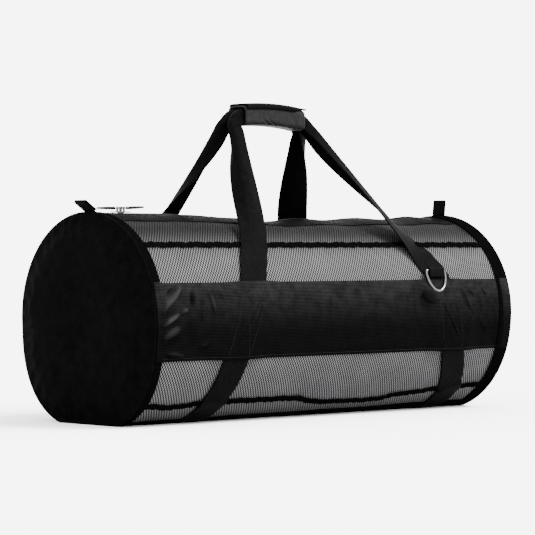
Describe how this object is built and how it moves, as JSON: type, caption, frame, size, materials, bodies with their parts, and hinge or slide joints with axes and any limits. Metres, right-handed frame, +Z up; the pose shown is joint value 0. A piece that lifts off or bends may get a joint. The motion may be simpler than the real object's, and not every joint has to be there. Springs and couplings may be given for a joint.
{
  "type": "mesh_dive_gear_bag",
  "caption": "Black mesh dive duffel with cloth side bands, a top zip, two webbing handles in a padded grip and chrome side rings, standing on its flattened cloth belly",
  "frame": {"origin": "centre of the belly's flat underside, on the floor", "axes": "+X along the bag from the domed end with the two zip sliders nearby to the far end, -Y the front, +Z up"},
  "size_m": [0.8155, 0.3388, 0.5102],
  "materials": {
    "black_cloth": "matte woven nylon",
    "band_cloth": "ribbed matte polyester",
    "net": "open knitted polyester net",
    "webbing": "matte woven polypropylene webbing",
    "binding_tape": "matte woven binding tape",
    "grip_cloth": "matte coated grip cloth",
    "zip_coil": "moulded coil",
    "moulded_pull": "moulded soft plastic",
    "chrome": "polished plating"
  },
  "bodies": {
    "bag": {"placket_front": "black_cloth", "placket_rear": "black_cloth", "bottom_panel": "black_cloth", "end_panel_left": "black_cloth", "end_panel_right": "black_cloth", "mesh_top_front": "net", "mesh_top_rear": "net", "mesh_upper_front": "net", "mesh_upper_rear": "net", "mesh_lower_front": "net", "mesh_lower_rear": "net", "mesh_low_front": "net", "mesh_low_rear": "net", "band_front": "band_cloth", "band_rear": "band_cloth", "seam_tape_upper_front": "binding_tape", "seam_tape_upper_rear": "binding_tape", "seam_tape_lower_front": "binding_tape", "seam_tape_lower_rear": "binding_tape", "zip_tape_front": "binding_tape", "zip_tape_rear": "binding_tape", "end_binding_left": "binding_tape", "end_binding_right": "binding_tape", "handle_front": "webbing", "handle_rear": "webbing", "belly_strap_left": "webbing", "belly_strap_right": "webbing", "ring_tab_front": "webbing", "ring_tab_rear": "webbing", "end_tab_left": "webbing", "end_tab_right": "webbing", "grip_flap": "webbing", "grip_wrap": "grip_cloth", "zip_coil_left": "zip_coil", "zip_coil_right": "zip_coil", "zip_slider_left": "chrome", "zip_slider_right": "chrome"},
    "d_ring_front": {"d_ring_front": "chrome"},
    "d_ring_rear": {"d_ring_rear": "chrome"},
    "zip_pull_left": {"zip_link_left": "chrome", "zip_grip_left": "moulded_pull"},
    "zip_pull_right": {"zip_link_right": "chrome", "zip_grip_right": "moulded_pull"}
  },
  "joints": [
    {"name": "ring_hinge_front", "type": "hinge", "parent": "bag", "child": "d_ring_front", "pos_m": [0.21768, -0.15634, 0.23658], "axis": [-1, 0, 0], "range_deg": [0, 140]},
    {"name": "ring_hinge_rear", "type": "hinge", "parent": "bag", "child": "d_ring_rear", "pos_m": [-0.21768, 0.15634, 0.23658], "axis": [1, 0, 0], "range_deg": [0, 140]},
    {"name": "pull_hinge_left", "type": "hinge", "parent": "bag", "child": "zip_pull_left", "pos_m": [-0.3338, 0, 0.3359], "axis": [0, 1, 0], "range_deg": [0, 85]},
    {"name": "pull_hinge_right", "type": "hinge", "parent": "bag", "child": "zip_pull_right", "pos_m": [-0.3262, 0, 0.3359], "axis": [0, -1, 0], "range_deg": [0, 85]}
  ]
}
